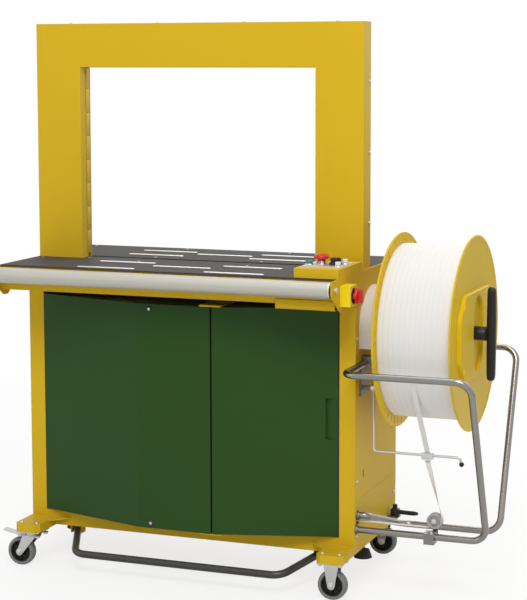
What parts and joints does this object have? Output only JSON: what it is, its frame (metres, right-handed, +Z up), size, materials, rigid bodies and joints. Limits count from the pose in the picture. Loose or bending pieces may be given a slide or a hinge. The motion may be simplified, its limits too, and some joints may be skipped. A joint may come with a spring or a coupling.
{
  "type": "arch strapping machine",
  "caption": "Arch strapping machine on casters with a flat table, front roller, bowed covers, foot bar and an outboard strap reel with tube guard.",
  "frame": {"origin": "on the floor, below the middle of the strapping opening, in the plane halfway through the arch", "axes": "+X to the operator's right, +Y to the rear, +Z up"},
  "size_m": [1.2918, 0.5965, 1.421],
  "materials": {
    "yellow_paint": "glossy powder coat",
    "bright_steel": "machined",
    "guard_chrome": "plated",
    "black_plastic": "matt",
    "panel_aluminium": "satin",
    "grey_paint": "satin powder coat",
    "black_rubber": "matt",
    "cast_grey": "painted casting",
    "white_plastic": "gloss",
    "dark_steel": "semi-gloss black",
    "roller_aluminium": "brushed",
    "strip_steel": "polished",
    "green_paint": "glossy powder coat",
    "reel_yellow": "glossy moulded plastic",
    "green_plastic": "gloss",
    "red_plastic": "gloss",
    "strap_plastic": "embossed strap",
    "track_metal": "satin",
    "switch_yellow": "gloss",
    "table_paint": "glossy dark grey powder coat",
    "grey_tyre": "solid grey rubber"
  },
  "bodies": {
    "machine": {"arch_front": "yellow_paint", "arch_rear": "yellow_paint", "base_frame": "yellow_paint", "body_frame": "yellow_paint", "caster_brackets": "guard_chrome", "control_box": "yellow_paint", "control_panel": "panel_aluminium", "control_unit": "grey_paint", "drive_belt": "black_rubber", "drive_motor": "cast_grey", "feed_unit": "cast_grey", "glide_strips": "strip_steel", "head_frame": "cast_grey", "left_cover": "green_paint", "level_feet": "black_rubber", "panel_screws": "bright_steel", "rear_panel": "yellow_paint", "reel_guard": "guard_chrome", "reel_housing": "grey_paint", "roller_shaft": "bright_steel", "side_brackets": "bright_steel", "side_panels": "yellow_paint", "strap_pool": "grey_paint", "strap_run": "strap_plastic", "strap_track": "track_metal", "switch_base": "switch_yellow", "table_frame": "yellow_paint", "table_plates": "table_paint"},
    "right_door": {"right_door": "green_paint"},
    "pedal_bar": {"foot_bar": "dark_steel"},
    "roller": {"front_roller": "roller_aluminium"},
    "reel": {"reel_inner": "reel_yellow", "reel_outer": "reel_yellow", "strap_coil": "strap_plastic"},
    "wing_nut": {"wing_nut": "black_plastic"},
    "guide_arm": {"guide_arm": "bright_steel"},
    "strap_pulley": {"strap_pulley": "white_plastic"},
    "switch_knob": {"switch_knob": "red_plastic"},
    "start_button": {"start_button": "green_plastic"},
    "stop_button": {"stop_button": "red_plastic"},
    "tension_dial": {"tension_dial": "black_plastic"},
    "feed_button": {"feed_button": "white_plastic"},
    "retract_button": {"retract_button": "white_plastic"},
    "clamp_lever": {"clamp_lever": "black_plastic"},
    "swivel_front": {"swivel_fork_front": "guard_chrome"},
    "swivel_rear": {"swivel_fork_rear": "guard_chrome"},
    "brake_front": {"brake_pedal_front": "bright_steel"},
    "brake_rear": {"brake_pedal_rear": "bright_steel"},
    "wheel_left_front": {"wheel_left_front": "grey_tyre"},
    "wheel_left_rear": {"wheel_left_rear": "grey_tyre"},
    "wheel_right_front": {"wheel_right_front": "grey_tyre"},
    "wheel_right_rear": {"wheel_right_rear": "grey_tyre"},
    "cam_shaft": {"cam_shaft": "bright_steel"},
    "motor_pulley": {"motor_pulley": "roller_aluminium"},
    "left_gripper": {"left_gripper": "bright_steel"},
    "press_block": {"press_block": "bright_steel"},
    "right_gripper": {"right_gripper": "bright_steel"},
    "heater_blade": {"heater_blade": "bright_steel"},
    "feed_roller": {"feed_roller": "black_rubber"},
    "pinch_roller": {"pinch_roller": "bright_steel"}
  },
  "joints": [
    {"name": "door_hinge", "type": "hinge", "parent": "machine", "child": "right_door", "pos_m": [0.111, -0.168, 0.427], "axis": [0, 0, -1], "range_deg": [0, 105]},
    {"name": "foot_bar_hinge", "type": "hinge", "parent": "machine", "child": "pedal_bar", "pos_m": [0, -0.036, 0.078], "axis": [1, 0, 0], "range_deg": [0, 8], "stiffness_Nm_per_rad": 12, "springref_deg": -28.65},
    {"name": "roller_spin", "type": "hinge", "parent": "machine", "child": "roller", "pos_m": [0, -0.257, 0.782], "axis": [1, 0, 0], "continuous": true},
    {"name": "reel_spin", "type": "hinge", "parent": "machine", "child": "reel", "pos_m": [0.62, 0.04, 0.652], "axis": [1, 0, 0], "continuous": true},
    {"name": "wing_nut_turn", "type": "hinge", "parent": "reel", "child": "wing_nut", "pos_m": [0.745, 0.04, 0.652], "axis": [1, 0, 0], "continuous": true},
    {"name": "guide_arm_swing", "type": "hinge", "parent": "machine", "child": "guide_arm", "pos_m": [0.482, -0.035, 0.512], "axis": [1, 0, 0], "range_deg": [-15, 30], "deforming": ["strap_run"]},
    {"name": "strap_pulley_spin", "type": "hinge", "parent": "machine", "child": "strap_pulley", "pos_m": [0.652, -0.068, 0.198], "axis": [0, 1, 0], "continuous": true},
    {"name": "main_switch_turn", "type": "hinge", "parent": "machine", "child": "switch_knob", "pos_m": [0.49, -0.195, 0.764], "axis": [1, 0, 0], "range_deg": [0, 90]},
    {"name": "start_button_press", "type": "slide", "parent": "machine", "child": "start_button", "axis": [0, 0, -1], "range_m": [0, 0.003], "stiffness_N_per_m": 400, "springref_m": -0.003},
    {"name": "stop_button_press", "type": "slide", "parent": "machine", "child": "stop_button", "axis": [0, 0, -1], "range_m": [0, 0.004], "stiffness_N_per_m": 400, "springref_m": -0.003},
    {"name": "feed_button_press", "type": "slide", "parent": "machine", "child": "feed_button", "axis": [0, 0, -1], "range_m": [0, 0.003], "stiffness_N_per_m": 400, "springref_m": -0.003},
    {"name": "retract_button_press", "type": "slide", "parent": "machine", "child": "retract_button", "axis": [0, 0, -1], "range_m": [0, 0.003], "stiffness_N_per_m": 400, "springref_m": -0.003},
    {"name": "tension_dial_turn", "type": "hinge", "parent": "machine", "child": "tension_dial", "pos_m": [0.423, -0.158, 0.84], "axis": [0, 0, 1], "range_deg": [0, 270]},
    {"name": "clamp_lever_turn", "type": "hinge", "parent": "machine", "child": "clamp_lever", "pos_m": [0.47, 0.2, 0.14], "axis": [0, 0, 1], "range_deg": [0, 90]},
    {"name": "swivel_front_turn", "type": "hinge", "parent": "machine", "child": "swivel_front", "pos_m": [-0.417, -0.155, 0.09], "axis": [0, 0, 1], "continuous": true},
    {"name": "brake_front_press", "type": "hinge", "parent": "swivel_front", "child": "brake_front", "pos_m": [-0.435, -0.155, 0.0785], "axis": [0, -1, 0], "range_deg": [0, 17]},
    {"name": "wheel_left_front_spin", "type": "hinge", "parent": "swivel_front", "child": "wheel_left_front", "pos_m": [-0.449, -0.155, 0.0375], "axis": [0, 1, 0], "continuous": true},
    {"name": "wheel_right_front_spin", "type": "hinge", "parent": "machine", "child": "wheel_right_front", "pos_m": [0.417, -0.155, 0.0375], "axis": [0, 1, 0], "continuous": true},
    {"name": "swivel_rear_turn", "type": "hinge", "parent": "machine", "child": "swivel_rear", "pos_m": [-0.417, 0.267, 0.09], "axis": [0, 0, 1], "continuous": true},
    {"name": "brake_rear_press", "type": "hinge", "parent": "swivel_rear", "child": "brake_rear", "pos_m": [-0.435, 0.267, 0.0785], "axis": [0, -1, 0], "range_deg": [0, 17]},
    {"name": "wheel_left_rear_spin", "type": "hinge", "parent": "swivel_rear", "child": "wheel_left_rear", "pos_m": [-0.449, 0.267, 0.0375], "axis": [0, 1, 0], "continuous": true},
    {"name": "wheel_right_rear_spin", "type": "hinge", "parent": "machine", "child": "wheel_right_rear", "pos_m": [0.417, 0.267, 0.0375], "axis": [0, 1, 0], "continuous": true},
    {"name": "cam_shaft_turn", "type": "hinge", "parent": "machine", "child": "cam_shaft", "pos_m": [0, 0.016, 0.65], "axis": [1, 0, 0], "continuous": true},
    {"name": "motor_pulley_turn", "type": "hinge", "parent": "machine", "child": "motor_pulley", "pos_m": [0.139, 0.12, 0.44], "axis": [1, 0, 0], "continuous": true},
    {"name": "left_gripper_lift", "type": "slide", "parent": "machine", "child": "left_gripper", "axis": [0, 0, 1], "range_m": [0, 0.006]},
    {"name": "press_block_lift", "type": "slide", "parent": "machine", "child": "press_block", "axis": [0, 0, 1], "range_m": [0, 0.006]},
    {"name": "right_gripper_lift", "type": "slide", "parent": "machine", "child": "right_gripper", "axis": [0, 0, 1], "range_m": [0, 0.006]},
    {"name": "heater_blade_slide", "type": "slide", "parent": "machine", "child": "heater_blade", "axis": [0, -1, 0], "range_m": [0, 0.04]},
    {"name": "feed_roller_spin", "type": "hinge", "parent": "machine", "child": "feed_roller", "pos_m": [0.23, -0.062, 0.65], "axis": [0, 1, 0], "continuous": true},
    {"name": "pinch_roller_spin", "type": "hinge", "parent": "machine", "child": "pinch_roller", "pos_m": [0.23, -0.062, 0.6009], "axis": [0, 1, 0], "continuous": true}
  ],
  "couplings": [
    {"joint": "motor_pulley_turn", "follows": "cam_shaft_turn", "ratio": 1.6},
    {"joint": "pinch_roller_spin", "follows": "feed_roller_spin", "ratio": -1.6667}
  ]
}
